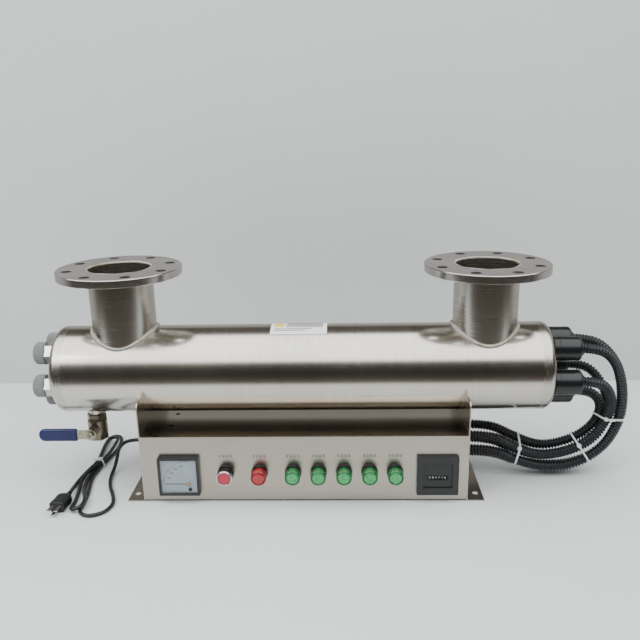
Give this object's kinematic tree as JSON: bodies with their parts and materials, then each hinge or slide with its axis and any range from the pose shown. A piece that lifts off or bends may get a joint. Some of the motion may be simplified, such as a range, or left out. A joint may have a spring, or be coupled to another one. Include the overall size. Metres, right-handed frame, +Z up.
{
  "type": "uv water clarifier",
  "caption": "Stainless tube chamber with two upright pipe flanges, a drain valve and lamp caps at its ends, cradled on a control box with meters, lamps and a button.",
  "frame": {"origin": "on the floor, at the middle of the four foot holes", "axes": "+X along the chamber towards the conduit end, -Y the front with the panel, +Z up through the flanges"},
  "size_m": [1.0956, 0.3329, 0.411],
  "materials": {
    "brushed_stainless": "brushed",
    "turned_stainless": "lathe turned",
    "weld_bead": "rough",
    "cold_rolled_stainless": "brushed",
    "chrome_nut": "bright",
    "grey_plastic": "matte",
    "black_plastic": "satin",
    "black_rubber": "satin",
    "tie_nylon": "matte",
    "quartz": "clear",
    "lamp_glass": "clear",
    "lamp_ceramic": "matte",
    "nickel_brass": "nickel plated",
    "seat_ptfe": "smooth",
    "plated_steel": "zinc plated",
    "vinyl_blue": "gloss",
    "bezel_plastic": "satin",
    "dial_card": "matte",
    "clear_window": "clear",
    "pointer_paint": "matte",
    "drum_plastic": "matte",
    "button_red": "satin",
    "lens_red": "clear",
    "lens_green": "clear",
    "ballast_case": "satin",
    "terminal_plastic": "matte"
  },
  "bodies": {
    "frame": {"chamber_shell": "brushed_stainless", "end_plate_left": "brushed_stainless", "end_plate_right": "brushed_stainless", "inlet_neck": "brushed_stainless", "outlet_neck": "brushed_stainless", "inlet_flange": "turned_stainless", "outlet_flange": "turned_stainless", "weld_beads": "weld_bead", "sleeve_ports": "brushed_stainless", "sleeve_orings": "black_rubber", "gland_nuts": "chrome_nut", "quartz_sleeves": "quartz", "lamp_tubes": "lamp_glass", "lamp_bases": "lamp_ceramic", "lamp_sockets": "black_plastic", "sleeve_caps": "grey_plastic", "conduit_caps": "black_plastic", "conduit_1": "black_plastic", "conduit_2": "black_plastic", "conduit_3": "black_plastic", "conduit_4": "black_plastic", "conduit_5": "black_plastic", "conduit_connectors": "black_plastic", "conduit_ties": "tie_nylon", "drain_nipple": "brushed_stainless", "valve_body": "nickel_brass", "valve_end": "nickel_brass", "valve_seats": "seat_ptfe", "packing_nut": "nickel_brass", "side_plate_left": "cold_rolled_stainless", "side_plate_right": "cold_rolled_stainless", "front_panel": "cold_rolled_stainless", "box_top": "cold_rolled_stainless", "base_plate": "cold_rolled_stainless", "rear_panel": "cold_rolled_stainless", "panel_screws": "chrome_nut", "voltmeter_case": "bezel_plastic", "voltmeter_dial": "dial_card", "voltmeter_window": "clear_window", "hour_meter_case": "bezel_plastic", "counter_drums": "drum_plastic", "switch_body": "black_plastic", "indicator_bodies": "black_plastic", "red_lens": "lens_red", "green_lenses": "lens_green", "ballasts": "ballast_case", "terminal_block": "terminal_plastic", "cord_gland": "black_plastic", "mains_lead": "black_rubber", "mains_hank": "black_rubber", "hank_tie": "tie_nylon", "mains_plug": "black_rubber"},
    "valve_handle": {"valve_ball": "chrome_nut", "valve_stem": "nickel_brass", "valve_lever": "plated_steel", "lever_grip": "vinyl_blue", "lever_nut": "plated_steel"},
    "meter_pointer": {"voltmeter_pointer": "pointer_paint"},
    "power_button": {"switch_button": "button_red"},
    "tenths_drum": {"fast_drum": "drum_plastic"}
  },
  "joints": [
    {"name": "drain_lever", "type": "hinge", "parent": "frame", "child": "valve_handle", "pos_m": [-0.397, -0.03, 0.105], "axis": [0, -1, 0], "range_deg": [0, 90]},
    {"name": "meter_swing", "type": "hinge", "parent": "frame", "child": "meter_pointer", "pos_m": [-0.2065, -0.103, 0.038], "axis": [0, 1, 0], "range_deg": [0, 90], "stiffness_Nm_per_rad": 0.0002},
    {"name": "button_press", "type": "slide", "parent": "frame", "child": "power_button", "axis": [0, 1, 0], "range_m": [0, 0.0035], "stiffness_N_per_m": 600},
    {"name": "drum_turn", "type": "hinge", "parent": "frame", "child": "tenths_drum", "pos_m": [0.249, -0.0971, 0.048], "axis": [1, 0, 0], "continuous": true}
  ]
}
